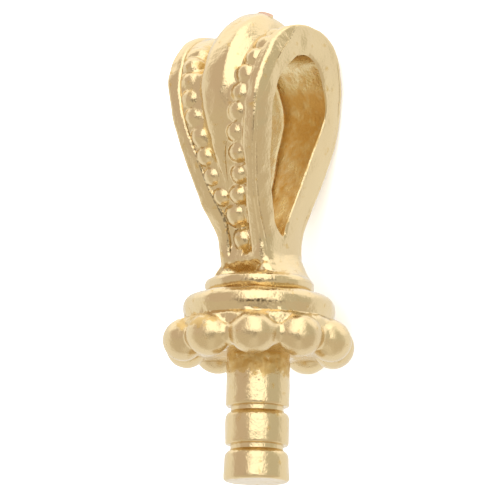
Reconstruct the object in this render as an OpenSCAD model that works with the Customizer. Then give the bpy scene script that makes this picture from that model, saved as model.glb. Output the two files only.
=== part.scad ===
/* [Peg] */
// Diameter of the peg that is glued into the pendant
peg_d = 2.76; // [2.4:0.02:3]
// Length of the peg below the flat underside of the crown
peg_len = 5.48; // [5:0.01:6.5]
// Width of each glue groove
groove_w = 0.26; // [0.18:0.02:0.34]
// Depth of each glue groove
groove_t = 0.22; // [0.1:0.02:0.3]
// Distance from the underside to the middle of the first groove
groove_first = 2.36; // [2:0.02:2.5]
// Distance between the middles of the two grooves
groove_pitch = 1.67; // [1.4:0.01:1.8]
// Height of the sloped shoulder below each groove
groove_shoulder = 0.2; // [0.1:0.02:0.3]
// How far that shoulder slopes in
groove_slope = 0.12; // [0.04:0.02:0.2]
// Rounding of the edge at the peg's end
end_round = 0.14; // [0.06:0.02:0.2]

/* [Bead crown] */
// Number of beads round the crown
crown_beads = 10; // [8:2:12]
// Diameter of a crown bead
crown_bead_d = 1.9; // [1.8:0.02:1.96]
// Radius of the circle on which the crown beads sit
crown_ring_r = 3.27; // [3.2:0.01:3.35]
// Radius of the core between the crown beads
crown_core_r = 3.04; // [2.9:0.02:3.1]
// Distance from the crown beads' middle down to the flat underside
crown_under = 0.52; // [0.45:0.01:0.7]

/* [Cap and collar] */
// Widest radius of the domed cap above the beads
cap_r = 3.3; // [3.2:0.02:3.4]
// Height of the middle of the cap's rounded shoulder, above the beads' middle
cap_z = 1.38; // [1.35:0.01:1.5]
// Radius of that rounded shoulder
cap_round = 0.83; // [0.8:0.01:0.9]
// Widest radius of the collar
collar_r = 2.36; // [2.3:0.01:2.42]
// Height of the collar's widest place
collar_z = 2.59; // [2.55:0.01:2.65]
// Radius of the collar's round edge
collar_round = 0.353; // [0.3:0.001:0.38]
// Radius of the hollow sweep from the collar up to the neck
cove_round = 0.76; // [0.7:0.01:0.8]
// Distance from the axis at which that sweep is lowest
cove_r = 1.89; // [1.85:0.01:1.95]
// Height at which it is lowest
cove_z = 3.14; // [3.1:0.01:3.2]

/* [Bail relief] */
// Diameter of a bead in the two rows
row_bead_d = 0.84; // [0.78:0.01:0.88]
// Number of beads in each row
row_beads = 10; // [8:1:11]
// Distance between the lowest two beads of a row
row_pitch = 0.95; // [0.93:0.01:0.96]
// How much that distance shrinks from bead to bead on the way up
row_pitch_fall = 0.0166; // [0.015:0.0002:0.018]
// Diameter of the bead where the two rows meet
joint_bead_d = 1.06; // [0.9:0.02:1.1]
// Diameter of the single bead at the foot of the channel
foot_bead_d = 0.88; // [0.8:0.02:0.9]
// Depth of the channels below the rims
channel_t = 0.36; // [0.32:0.01:0.4]
// How far the bead middles lie below the rims
bead_sink = 0.22; // [0.18:0.01:0.26]
// Diameter of the filed stub of the casting gate on the crest
stub_d = 0.72; // [0.5:0.02:0.8]
// Height of the stub above the crest
stub_h = 0.06; // [0.04:0.01:0.14]

/* [Hidden] */
gold = "#dcc08a";

// Facets of the exact round parts, and steps along and across the bail's surface
$fn = 64;
loop_steps = 88;
leaf_steps = 5;
edge_steps = 4;

// Sections round the bail, from its foot up the front, over the top and down the back, with the
// bail upright, its front towards -Y and zero at the middle of the crown beads. Columns:
// [outer y, outer z, opening y, opening z, half width of the leaf, its rise over the rims,
//  half width of the channels, rounding of the outer edges]
OUT_Y = 0;
OUT_Z = 1;
IN_Y = 2;
IN_Z = 3;
LEAF_W = 4;
LEAF_H = 5;
CHAN_W = 6;
EDGE = 7;
sections = [
    [0.00, 2.46, -0.11, 4.58, 0.04, -0.56, 0.40, 0.60],
    [-1.38, 3.10, -0.34, 4.72, 0.04, -0.56, 0.40, 0.60],
    [-1.42, 4.22, -0.67, 5.00, 0.04, -0.56, 0.46, 0.50],
    [-2.00, 5.43, -0.99, 5.47, 0.04, -0.50, 0.60, 0.42],
    [-2.59, 6.81, -1.51, 6.81, 0.08, -0.28, 1.12, 0.42],
    [-3.06, 8.32, -1.98, 8.15, 0.34, -0.17, 1.38, 0.42],
    [-3.30, 10.13, -2.25, 9.91, 0.63, -0.04, 1.84, 0.42],
    [-2.97, 11.85, -2.05, 11.08, 0.95, 0.13, 2.13, 0.36],
    [-1.85, 13.23, -1.34, 11.92, 1.03, 0.52, 2.38, 0.32],
    [-0.26, 13.60, -0.52, 12.26, 1.02, 0.81, 2.40, 0.36],
    [1.29, 13.15, 0.34, 11.85, 0.98, 0.36, 2.38, 0.48],
    [2.20, 11.66, 0.95, 10.91, 0.90, 0.00, 2.00, 0.48],
    [2.63, 9.74, 1.23, 9.83, 0.50, 0.00, 1.60, 0.42],
    [2.39, 7.76, 0.88, 8.45, 0.20, 0.00, 1.20, 0.35],
    [1.94, 6.12, 0.45, 6.68, 0.10, 0.00, 0.90, 0.40],
    [1.53, 4.48, 0.04, 5.22, 0.05, 0.00, 0.60, 0.55],
    [1.62, 3.10, -0.04, 4.70, 0.05, -0.30, 0.45, 0.60]
];
rows = len(sections);

// Half width of the bail's flat sides at a height. Columns: [z, half width]
widths = [[2.46, 1.62], [3.20, 1.50], [3.80, 1.41], [4.50, 1.40], [5.26, 1.54], [6.90, 1.89],
          [8.71, 2.31], [10.60, 2.66], [11.64, 2.79], [12.30, 2.86], [12.90, 2.84], [14.50, 2.78]];

// Row at which lengths along the outer line start, and steps in which they are measured
foot_row = 1;
row_step = 0.06;
length_steps = 190;

// Lengths along the outer line at which the channels are deepened from the foot, and made
// shallow again past the top
chan_foot = [0.55, 1.05];
chan_top = [11.1, 12.9];

// How far the beads are let into the rims, how much deeper the top ones lie than the others and
// over which lengths, and where the foot bead, the joint bead and the lowest pair sit
bead_seat = 0.04;
top_sink = 0.12;
top_from = [9.6, 11.1];
foot_bead_at = 1.18;
joint_bead_at = 2.27;
row_first_at = 3.19;

// A smooth curve through the closed ring of sections, taken at t rows from the first
function section_row(t) =
    let (i = floor(t), f = t - i, a = sections[(i + rows - 1) % rows], b = sections[i % rows])
    let (c = sections[(i + 1) % rows], d = sections[(i + 2) % rows])
    0.5 * (2 * b + (c - a) * f + (2 * a - 5 * b + 4 * c - d) * f * f
           + (3 * b - a - 3 * c + d) * f * f * f);

function outer_point(t) = let (r = section_row(t)) [r[OUT_Y], r[OUT_Z]];
function inner_point(t) = let (r = section_row(t)) [r[IN_Y], r[IN_Z]];

// Outward direction of the outer line, square to it
function outer_normal(t) =
    let (d = outer_point(t + row_step) - outer_point(t + rows - row_step), e = d / norm(d))
    [-e[1], e[0]];

// A ramp from 0 to 1 as x goes from a to b
function ramp(x, a, b) = let (f = min(1, max(0, (x - a) / (b - a)))) f * f * (3 - 2 * f);

// Lengths along the outer line from the foot row upwards. Columns: [length, row]
lengths = [
    for (i = 0, s = 0; i <= length_steps; i = i + 1, s = s + norm(
            outer_point(foot_row + i * row_step) - outer_point(foot_row + (i - 1) * row_step)))
        [s, foot_row + i * row_step]
];
lengths_by_row = [for (e = lengths) [e[1], e[0]]];
function row_at(s) = lookup(s, lengths);

// Depth of the channels at row t
function channel_depth(t) =
    t < foot_row || t > foot_row + length_steps * row_step
        ? 0
        : let (s = lookup(t, lengths_by_row))
            channel_t * ramp(s, chan_foot[0], chan_foot[1]) * (1 - ramp(s, chan_top[0], chan_top[1]));

// A point of a section: x across, n outwards from the outer line, q from the opening (0) to it (1)
function section_point(t, x, n, q) =
    let (o = outer_point(t), i = inner_point(t), p = i + (o - i) * q + outer_normal(t) * n)
    [x, p[0], p[1]];

// The half section at row t, from the crest of the leaf over a channel and a rim to the opening
function half_section(t) =
    let (r = section_row(t), depth = channel_depth(t), rise = max(-depth, r[LEAF_H]) + depth)
    let (w = lookup(r[OUT_Z], widths), edge = min(r[EDGE], w - r[CHAN_W] - 0.08))
    concat(
        [for (k = [0:leaf_steps])
            let (a = 90 * k / leaf_steps)
            section_point(t, r[LEAF_W] * sin(a), rise * pow(max(0, cos(a)), 0.8) - depth, 1)],
        [section_point(t, r[CHAN_W] - 0.04, -depth, 1),
         section_point(t, r[CHAN_W] + 0.02, min(0, 0.08 - depth), 1)],
        [for (k = [0:edge_steps])
            let (a = 90 * k / edge_steps)
            section_point(t, w - edge * (1 - sin(a)), edge * (cos(a) - 1), 1)],
        [section_point(t, lookup(r[IN_Z], widths), 0, 0)]
    );

// The bail's loop: half sections mirrored across the middle plane and joined in a closed ring
module loop() {
    halves = [for (i = [0:loop_steps - 1]) half_section(i * rows / loop_steps)];
    last = len(halves[0]) - 1;
    across = 2 * last + 1;
    points = [
        for (h = halves)
            for (k = [-last:last])
                let (p = h[abs(k)]) k < 0 ? p : [-p[0], p[1], p[2]]
    ];
    faces = [
        for (i = [0:loop_steps - 1], k = [0:across - 1])
            let (j = (i + 1) % loop_steps, m = (k + 1) % across)
            let (a = i * across + k, b = i * across + m, c = j * across + m, d = j * across + k)
            for (f = [[a, b, c], [a, c, d]]) f
    ];
    color(gold) polyhedron(points, faces, convexity = 6);
}

// A bead of the relief, s along the outer line and x across from the middle
module relief_bead(s, x, d) {
    sink = bead_sink + top_sink * ramp(s, top_from[0], top_from[1]);
    translate(section_point(row_at(s), x, -sink, 1)) sphere(d = d);
}

// The two rows of beads, the larger bead where they meet and the single one below it
module bead_rows() {
    color(gold) {
        relief_bead(foot_bead_at, 0, foot_bead_d);
        relief_bead(joint_bead_at, 0, joint_bead_d);
        for (i = [0:row_beads - 1]) {
            s = row_first_at + i * row_pitch - i * i * row_pitch_fall / 2;
            x = section_row(row_at(s))[CHAN_W] + bead_seat - row_bead_d / 2;
            for (side = [-1, 1]) relief_bead(s, side * x, row_bead_d);
        }
    }
}

// The filed stub of the casting gate, square to the leaf just behind its highest place
stub_row = 9.2;
stub_root = 0.3;
stub_lean = asin(outer_normal(stub_row)[0]);
crest = section_point(stub_row, 0, section_row(stub_row)[LEAF_H], 1);
module gate_stub() {
    color(gold)
        translate(crest) rotate([-stub_lean, 0, 0]) translate([0, 0, -stub_root])
            cylinder(d = stub_d, h = stub_h + stub_root);
}

// The sweep below the neck, the collar, the domed cap and the core of the crown
module cap() {
    collar_mid = collar_r - collar_round;
    shoulder_mid = cap_r - cap_round;
    color(gold) rotate_extrude() polygon(concat(
        [[0, -crown_under], [crown_core_r, -crown_under], [crown_core_r, 0.5]],
        [for (a = [-24:8:80]) [shoulder_mid + cap_round * cos(a), cap_z + cap_round * sin(a)]],
        [for (a = [-40:10:70])
            [collar_mid + collar_round * cos(a), collar_z + collar_round * sin(a)]],
        [for (a = [-90:-8:-154])
            [cove_r + cove_round * cos(a), cove_z + cove_round * (1 + sin(a))]],
        [[0, cove_z + cove_round / 2]]
    ));
}

// The ring of large beads round the crown
module bead_crown() {
    color(gold)
        for (i = [0:crown_beads - 1])
            rotate([0, 0, i * 360 / crown_beads - 90])
                translate([crown_ring_r, 0, 0]) sphere(d = crown_bead_d);
}

// The grooved peg below the flat underside
peg_end_z = -crown_under - peg_len;
module peg() {
    r = peg_d / 2;
    h = groove_w / 2;
    first = -crown_under - groove_first;
    color(gold) rotate_extrude() polygon(concat(
        [[0, 0], [r, 0]],
        [for (g = [first, first - groove_pitch])
            each [[r, g + h], [r - groove_t, g + h], [r - groove_t, g - h],
                  [r - groove_slope, g - h], [r, g - h - groove_shoulder]]],
        [for (a = [0:-15:-90])
            [r - end_round * (1 - cos(a)), peg_end_z + end_round * (1 + sin(a))]],
        [[0, peg_end_z]]
    ));
}

// How far the bail reaches, upright, in the direction [y, z]
function bail_reach(v) = max([
    for (i = [0:loop_steps - 1]) let (p = outer_point(i * rows / loop_steps)) p * v
]);

// Lying on its back, the part rests on the rear crown bead and on the back of the loop, which
// lifts the crown's end by the angle at which both touch the floor
lean_arm = 10.2;
function lean_gap(a) =
    crown_ring_r * cos(a) + crown_bead_d / 2 - bail_reach([cos(a), sin(a)]);
function lean(a, n) = n == 0 ? a : lean(a + lean_gap(a) / lean_arm * 180 / PI, n - 1);
lie_angle = lean(9, 6);
lie_height = crown_ring_r * cos(lie_angle) + crown_bead_d / 2;

// Ends of the lying part along the floor
loop_end = crest[2] * cos(lie_angle) - crest[1] * sin(lie_angle)
    + stub_h * cos(lie_angle + stub_lean) + stub_d / 2 * sin(lie_angle + stub_lean);
peg_end = peg_end_z * cos(lie_angle) - (peg_d / 2 - end_round) * sin(lie_angle);

module peg_bail() {
    translate([-(loop_end + peg_end) / 2, 0, lie_height])
        rotate([0, lie_angle, 0])
            rotate([-90, 0, -90]) {
                loop();
                bead_rows();
                gate_stub();
                cap();
                bead_crown();
                peg();
            }
}

peg_bail();
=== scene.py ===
import math
from types import SimpleNamespace

import bpy
import numpy as np
from mathutils import Matrix, Vector


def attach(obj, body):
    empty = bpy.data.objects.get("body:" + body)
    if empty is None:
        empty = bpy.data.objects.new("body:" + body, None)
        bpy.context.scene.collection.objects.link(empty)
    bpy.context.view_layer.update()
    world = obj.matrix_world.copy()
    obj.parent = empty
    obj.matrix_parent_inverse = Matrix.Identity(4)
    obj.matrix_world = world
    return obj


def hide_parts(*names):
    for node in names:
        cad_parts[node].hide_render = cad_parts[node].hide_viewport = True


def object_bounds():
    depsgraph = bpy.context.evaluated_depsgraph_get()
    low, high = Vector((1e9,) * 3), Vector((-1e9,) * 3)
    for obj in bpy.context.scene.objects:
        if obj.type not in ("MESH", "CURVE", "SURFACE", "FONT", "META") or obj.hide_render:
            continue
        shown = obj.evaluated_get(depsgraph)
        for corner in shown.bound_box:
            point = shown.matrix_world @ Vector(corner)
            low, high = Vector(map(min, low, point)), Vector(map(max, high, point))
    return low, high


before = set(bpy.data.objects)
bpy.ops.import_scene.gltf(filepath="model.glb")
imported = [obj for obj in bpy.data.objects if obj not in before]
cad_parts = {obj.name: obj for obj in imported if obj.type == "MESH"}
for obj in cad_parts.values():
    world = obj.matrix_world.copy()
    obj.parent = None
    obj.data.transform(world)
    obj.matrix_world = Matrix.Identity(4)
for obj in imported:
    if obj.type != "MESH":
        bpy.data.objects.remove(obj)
cad_low, cad_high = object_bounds()

# Sizes are in millimetres of the upright bail, its front towards -Y and zero at the middle of the
# crown beads. Names that end in _S hold lengths along the ring's outer line from the foot's row, and
# those in _X, _Y, _Z or _R places across, back, up or out. Two of them say where something starts
# and is whole, and four where it starts, is whole, starts to fall and has gone
MM = 0.001

# The camera's turn about the upright bail, from its front to its right
CAM_TURN = math.radians(40.0)

# Sections round the bail, from its foot up the front, over the top and down the back. Columns:
# outer y, outer z, opening y, opening z, half width of the leaf, its rise over the rims,
# half width of the channels, rounding of the outer edges. Lengths are counted from the foot's row
OUT_Y, OUT_Z, IN_Y, IN_Z, LEAF_W, LEAF_H, CHAN_W, EDGE = range(8)
SECTIONS = np.array([
    [0.00, 2.46, -0.11, 4.58, 0.04, -0.56, 0.40, 0.60],
    [-1.22, 3.10, -0.34, 4.72, 0.04, -0.56, 0.56, 0.42],
    [-1.42, 4.22, -0.67, 5.00, 0.04, -0.56, 0.60, 0.30],
    [-2.00, 5.43, -0.99, 5.47, 0.04, -0.50, 0.70, 0.20],
    [-2.59, 6.81, -1.51, 6.81, 0.12, -0.20, 1.12, 0.20],
    [-3.06, 8.32, -1.98, 8.15, 0.36, -0.06, 1.38, 0.20],
    [-3.30, 10.13, -2.25, 9.91, 0.65, 0.16, 1.84, 0.20],
    [-2.97, 11.85, -2.05, 11.08, 0.95, 0.32, 2.13, 0.14],
    [-1.85, 13.23, -1.34, 11.92, 1.03, 0.52, 2.38, 0.08],
    [-0.26, 13.60, -0.52, 12.26, 1.02, 0.81, 2.40, 0.08],
    [1.29, 13.15, 0.34, 11.85, 0.98, 0.36, 2.38, 0.20],
    [2.20, 11.66, 0.95, 10.91, 0.90, 0.00, 2.00, 0.38],
    [2.63, 9.74, 1.23, 9.83, 0.50, 0.00, 1.60, 0.42],
    [2.39, 7.76, 0.88, 8.45, 0.20, 0.00, 1.20, 0.35],
    [1.94, 6.12, 0.45, 6.68, 0.10, 0.00, 0.90, 0.40],
    [1.53, 4.48, 0.04, 5.22, 0.05, 0.00, 0.60, 0.50],
    [1.50, 3.10, -0.04, 4.70, 0.05, -0.30, 0.45, 0.50],
])
ROWS = len(SECTIONS)
FOOT_ROW = 1

# Half width of the bail's flat sides. Columns: height, half width
WIDTHS = np.array([
    [2.46, 1.40], [3.60, 1.40], [4.40, 1.40], [5.26, 1.54], [6.10, 1.71], [6.90, 1.89], [8.71, 2.31],
    [10.60, 2.66], [11.64, 2.80], [12.30, 2.86], [12.90, 2.84], [14.50, 2.78],
])

# Rows of points round the ring: how many on the beaded front and behind it, and where the front ends
FRONT_ROWS = 250
BACK_ROWS = 56
FRONT_END = 12.6

# Steps from one row of the table of sections to the next in which the outer line is measured
FINE_STEPS = 100

# Points across half a section: leaf, floor of the channel, inner lip of the rim, its flat, its
# crest, its bevel and its lower edge
LEAF_POINTS = 20
FLOOR_POINTS = 31
LIP_POINTS = 7
RIM_POINTS = 4
CREST_POINTS = 8
BEVEL_POINTS = 3
EDGE_POINTS = 5

# The leaf: its least half width, and the power of its rounding, which falls over the top
LEAF_LEAST = 0.04
LEAF_POWER = 2.4
POWER_FALL = 0.4
POWER_FALL_Z = (12.0, 13.4)

# The leaf's right flank is level and then slopes, with a rounding between. Columns: length along the
# outer line, gap left to the channel's edge, and the share of the half width from which it slopes
FLANK = np.array([
    [5.0, 0.70, 0.10], [7.2, 0.62, 0.15], [8.4, 0.86, 0.56], [10.8, 1.12, 0.57], [13.0, 1.12, 0.57],
])
FLANK_ROUND = 0.12
FLANK_S = (5.0, 6.6, 11.4, 12.8)

# Its left flank draws in near the top
LEFT_NARROW = 0.20
NARROW_S = (7.8, 9.2, 11.3, 12.2)

# Channels: depth below the rims, how much deeper near the foot, where along the outer line they
# deepen at the foot, grow shallow and end past the top, and their least width
CHANNEL_T = 0.19
FOOT_DEEPER = 0.08
CHAN_FOOT = (0.36, 1.15)
CHAN_SHALLOW = (2.0, 6.0)
CHAN_TOP = (11.1, 12.9)
CHAN_LEAST = 0.10

# Low down the outer walls of both channels stand further right
CHAN_SHIFT = 0.17
SHIFT_S = (1.2, 2.4, 4.2, 6.2)

# The floor ends just short of the channel's wall and curls up to it. The curl and the rim's inner
# lip are whole where the channel has reached its full depth
WALL_GAP = 0.03
FLOOR_CROWD = 1.2
FLOOR_CURL = 0.06
CURL_POWER = 5
FULL_DEPTH = 0.15

# The line cut beside the leaf on the left, and the pocket into which it widens near the top: depths,
# widths and the pocket's place from the leaf
LINE_CUT = 0.06
LINE_W = 0.11
LINE_S = (4.2, 5.2, 10.6, 11.6)
POCKET_T = 0.40
POCKET_AT = 0.36
POCKET_W = 0.28
POCKET_S = (8.7, 9.6, 11.3, 12.2)

# Deep spots on the foot's side of the lowest beads: depth, width, how far up and from where across
# beads have one, and its place from the bead's middle as shares of the bead's radius
SPOT_T = 0.16
SPOT_W = 0.20
SPOT_TO_S = 5.2
SPOT_FROM_X = -0.3
SPOT_BACK = 0.80
SPOT_ASIDE = 0.45

# The rims' inner lip: its drop and its share of the rim. The right one is shallower half way up, and
# the left one is wider and deeper
LIP_DROP = 0.10
LIP_SHARE = 0.45
LIP_SHALLOW = 0.75
LIP_SHALLOW_S = (6.6, 7.2, 9.6, 10.4)
LEFT_LIP_SHARE = 0.55
LEFT_LIP_DEEPER = 1.5

# The bevel of the right rim's outer edge round the upper part: radius of its crest, its turn from
# the front, its width across, and the rounding of its lower edge. The rounding takes no more than
# one share of the rim, and the whole edge no more than the other
BEVEL_R = 0.32
BEVEL_TURN = math.radians(65.0)
BEVEL_X = 0.15
BEVEL_EDGE = 0.03
BEVEL_S = (6.4, 8.4, 10.7, 12.0)
ROUND_SHARE = 0.6
EDGE_SHARE = 0.9

# The sides swell gently from their outer edge to the opening, less so over the top
SIDE_SWELL = 0.12
SWELL_POWER = 2.4
SWELL_ENDS = (9.8, 11.8)

# Where the points of a side stand, from 1 at the outer line, close together for the notch, to just
# short of the opening at 0
OPENING_EDGE = 0.05
SIDE_Q = np.concatenate([[0.99, 0.975, 0.96, 0.945, 0.93], np.linspace(0.88, OPENING_EDGE, 10)])

# The notch under the rim's edge near the top: depth, place on the side and width
NOTCH_T = 0.035
NOTCH_AT = 0.965
NOTCH_W = 0.015
NOTCH_S = (8.8, 9.6, 11.2, 11.8)

# The opening's wall: its bevel, and where its points stand as shares of its half width
OPENING_BEVEL = 0.05
WALL_X = (1.0, 0.75, 0.5, 0.3)

# The casting's seam down that wall, a slight ridge right of the middle. The mean way from the
# opening to the outer line turns its height into a share of that way
SEAM_X = 0.25
SEAM_W = 0.06
SEAM_T = 0.04
SEAM_REACH = 1.2
SEAM_POINTS = np.linspace(1.5, -1.5, 5)

# The raw colour lies right of the seam, is weaker low down and ends below the top. The same colour
# is warm painted shade in the channels' line, pocket and deep spots, this share of it in the spots
RAW_LOW = 0.55
RAW_LOW_Z = (7.0, 9.5)
RAW_TOP_Z = (10.6, 11.4)
SPOT_WARM_SHADE = 0.8

# Painted shade and painted dark reflections: painted shade in the notch, a faint painted dark
# reflection along the rims' edges lower down, painted shade in the pocket, and painted shade along the
# first points of the left rim's lip
NOTCH_DARK = 0.9
FAINT_DARK = 0.35
FAINT_W = 0.03
FAINT_S = (0.6, 1.4, 4.8, 5.6)
POCKET_DARK = 0.6
LIP_DARK = 0.7
LIP_DARK_S = (0.4, 1.0, 5.8, 7.4)
LIP_DARK_POINTS = 3

# Beads: radii low down and higher up, how far they stand over the rims and from the channel's
# edge, where the first sits, and the pitch, which falls a little from bead to bead
BEADS = 11
BEAD_R = (0.475, 0.57)
BEAD_R_S = (4.4, 6.8)
BEAD_OVER = 0.05
BEAD_IN = 0.40
FIRST_BEAD = 3.19
BEAD_PITCH = 0.95
PITCH_FALL = 0.0166

# The right row runs further in half way up, and both rows sink a little near the top
RIGHT_IN = 0.17
RIGHT_IN_S = (5.2, 6.4, 8.4, 9.6)
TOP_SINK = 0.04
TOP_FROM = (9.6, 11.1)

# The larger bead where the rows meet and the one at the foot: length along the outer line, radius
JOINT_BEAD = (2.25, 0.62)
FOOT_BEAD = (1.27, 0.48)

# Beads that came out unlike the rest. Columns: side, place up from the foot, radius and depth added
ODD_BEADS = ((-1, 10, 0.0, 0.9), (-1, 9, 0.0, 0.6), (-1, 8, 0.14, 0.12), (-1, 6, 0.06, 0.07))

# How much the beads of a casting differ: in place, in radius and in depth
PLACE_STRAY = 0.025
RADIUS_STRAY = 0.02
SINK_STRAY = (-0.02, 0.03)

# A bead is round out to this share of its radius and then falls steeply. It runs into the channel
# softly, more so higher up, and over the first points of the lip
CAP_SHARE = 0.88
CAP_SLOPE = 2.6
BEAD_BLEND = (0.06, 0.09)
BLEND_S = (4.0, 7.0)
BEADED_LIP = 4
NO_BEAD = -9.0

# The neck sweeps out from the foot to the collar. Its half widths and how square they are, its top at
# the sides and in front, its low end, and how sharply it turns out, least behind the right side
NECK_X = 1.39
NECK_FRONT = 1.24
NECK_BACK = 1.50
NECK_BOX = 5.0
NECK_TOP = 3.85
NECK_TOP_FRONT = 3.40
NECK_LOW = 2.55
NECK_TURN = 1.75
NECK_TURN_SIDE = 0.45
NECK_ROWS = 28

# The hollow in front under the foot's lip: its depth, where it lies, and the share of the neck's way
# down over which the neck draws in to it
HOLLOW_T = 0.45
HOLLOW_X = (0.75, 1.15)
HOLLOW_Y = (0.4, 0.9)
HOLLOW_ENDS = (3.02, 3.47)
HOLLOW_SHARE = (0.0, 0.5)

# The crown's core: its flat underside and the points on it, the rounding of its edge, and its side up
# to the cap. Columns: how far it stands past the core, height
UNDER_Z = -0.52
UNDER_R = (0.0, 1.0, 2.4)
UNDER_ROUND = 0.12
UNDER_POINTS = 5
CORE_R = 3.3
CORE_SIDE = np.array([
    [0.00, 0.00], [0.18, 0.40], [0.24, 0.66], [0.22, 0.80], [0.13, 0.90], [0.01, 0.96], [-0.07, 0.99],
    [-0.10, 1.04], [-0.07, 1.18],
])

# The domed cap, from just under its widest: middle and half sizes of its rounding, and its power
DOME_R = 2.30
DOME_Z = 1.50
DOME_OUT = 0.99
DOME_UP = 0.63
DOME_POWER = 2.3
DOME_FROM = math.radians(-14.0)
DOME_POINTS = 25

# The collar: middle of its rounding, the rounding's radius and ends in degrees, the radius to which
# the neck sweeps out, the groove below it, and its top
COLLAR_R = 2.0
COLLAR_Z = 2.48
COLLAR_ROUND = 0.36
COLLAR_ARC = (-68, 96)
COLLAR_POINTS = 20
COLLAR_OUT = 2.36
COLLAR_GROOVE = (2.22, 2.12)
COLLAR_TOP = (1.3, 2.84)

# Crown: radius of the ring, of a bead outwards, sideways and up, and of the web that joins the beads,
# steps along a bead and round it, and the share of even spacing in the steps along it
CROWN_BEADS = 10
CROWN_R = 3.33
CROWN_BEAD_OUT = 0.91
CROWN_BEAD_SIDE = 1.02
CROWN_BEAD_UP = 0.93
CROWN_WEB = 0.50
WEB_POWER = 8
CROWN_STEPS = 30
CROWN_ROUND_STEPS = 42
CROWN_EVEN = 0.3

# Peg: its radius, at the root too and how far down that holds, its end, its slight swelling down to
# the lip, the lip and rounding at the end, points on its flat end, and the step between points of its
# profile. An added point is no nearer to another than this share of the step
PEG_R = 1.38
PEG_ROOT_R = 1.36
PEG_ROOT_Z = -0.92
PEG_END_Z = -6.0
PEG_SWELL = 0.02
PEG_SWELL_Z = -5.3
LIP_R = 1.42
PEG_END_ROUND = 0.14
PEG_END_POINTS = 8
PEG_END_R = (0.9, 0.0)
PEG_STEP = 0.12
STEP_CLEAR = 0.3

# Its two grooves: high and low ends, depth, the rounding above them with its middle over the high end
# and its turn in degrees, and where their floor starts. Below they slope out. Columns: inset from the
# peg's radius, height over the low end
GROOVES = ((-2.75, -3.01), (-4.42, -4.68))
GROOVE_T = 0.23
GROOVE_ROUND = 0.13
GROOVE_OVER = 0.10
GROOVE_ARC = (0, -60)
GROOVE_POINTS = 7
GROOVE_FLOOR = -0.03
GROOVE_SLOPE = np.array([[0.23, 0.05], [0.18, 0.0], [0.09, -0.06], [0.02, -0.16], [-0.01, -0.30]])

# Stub of the casting gate: its row, its place right of the middle, its tilt to the right and its
# lean, how deep it sinks into the leaf, its radius, height and the rounding of its edge
STUB_ROW = 8.93
STUB_X = 0.42
STUB_TILT = math.radians(25.0)
STUB_LEAN = math.radians(14.0)
STUB_DROP = 0.11
STUB_R = 0.36
STUB_H = 0.07
STUB_EDGE = 0.03
STUB_ROOT = -0.3

# Steps round the cap and neck, the peg and the stub
TURN_STEPS = 160
PEG_STEPS = 120
STUB_STEPS = 48

# Numbers of the finishes; 0 is the tumbled one
WALL_FINISH = 1
CROWN_FINISH = 2
FILED_FINISH = 3

# Creases that are rounded off, where the neck meets the collar, at the foot's lip, between the crown
# beads and along the right rim's top: share, heights, and from where outwards or to the front
COLLAR_CREASE_Z = (2.70, 2.80, 2.95, 3.05)
COLLAR_CREASE_R = (1.2, 1.4)
FOOT_CREASE_Z = (3.25, 3.35, 3.75, 3.90)
FOOT_CREASE_Y = (0.7, 0.9)
CROWN_SOFT = 0.3
CROWN_CREASE_Z = (0.25, 0.40, 0.98, 1.05)
CROWN_CREASE_R = (3.30, 3.45)
TOP_SOFT = 0.6
TOP_CREASE_Z = (12.6, 12.9, 14.0, 15.0)
TOP_CREASE_X = (1.9, 2.1)
TOP_CREASE_Y = 0.5
SOFT_SHARE = 0.6
SOFT_ROUNDS = 12

# Yellower patches: round the peg's root and on the crown's left side by the cap
ROOT_END = -1.36
ROOT_R = (1.5, 1.7)
ROOT_STAIN_Z = (ROOT_END - 0.3, ROOT_END + 0.3, -0.45, -0.30)
CROWN_STAIN = 0.6
CROWN_STAIN_Z = (0.1, 0.5, 1.0, 1.3)
CROWN_STAIN_X = (-3.9, -3.2, -2.6, -1.8)

# Painted dark reflections in front, lines at the middle of the cap and along the collar where the metal
# would mirror the dark stand under the softbox. Columns: height, thickness, and where it lies across
# the camera's view
FRONT_Y = -1.0
DARK_LINES = ((1.385, 0.055, (-1.1, -0.8, 0.8, 1.2)), (2.46, 0.045, (-0.8, -0.5, 0.5, 0.9)))

# Unevenness of the casting: the number of its waves, and columns of height and size. It is half as
# strong on the peg. The waves are between two shares of their size long
SWELL_WAVES = 40
WAVE_SHARES = (0.7, 1.5)
SWELLS = ((0.012, 1.6), (0.006, 0.7))
PEG_SMOOTHER = 0.5
BAIL_FROM_Z = (-0.9, 0.2)

# Rougher places that tumbling doesn't reach: under the cap, in the foot's hollow and at the peg's
# root. Height, size, and where they lie
ROUGH_T = 0.016
ROUGH_SIZE = 0.34
ROUGH_WAVES = 60
UNDER_CAP_Z = (0.6, 0.8, 1.1, 1.25)
UNDER_CAP_R = (2.9, 3.1, 3.55, 3.75)
HOLLOW_ROUGH = 0.6
HOLLOW_ROUGH_Z = (2.8, 2.95, 3.4, 3.6)
HOLLOW_ROUGH_Y = (0.5, 0.8)
ROOT_ROUGH_Z = (ROOT_END, ROOT_END + 0.25, -0.6, -0.5)

# Faces that meet at more than this keep a sharp edge
SHARP_ANGLE = math.radians(38.0)

# Lying on its back, the rear crown bead and the back of the ring touch the surface: the arm between
# them, the lean to start from, the rounds that find it, and the radii of the crown's ring and bead
LEAN_ARM = 10.2
LEAN_START = math.radians(9.0)
LEAN_ROUNDS = 6
REST_RING_R = 3.27
REST_BEAD_R = 0.95

# The camera, a long lens far away: how far it looks up at the upright bail, its roll, its distance,
# the photo's scale and width in pixels, the pixel at which the crown's middle stands, its film and,
# in metres, the nearest that it sees
CAM_BELOW = math.radians(8.5)
CAM_ROLL = math.atan(0.0158)
CAM_AWAY = 300.0
PX_PER_MM = 23.2
FRAME_PX = 500
CROWN_PX = (258.4, 343.7)
SENSOR = 36.0
NEAREST = 0.01

# The start of all random draws
SEED = 7


# Steps and curves

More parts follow.
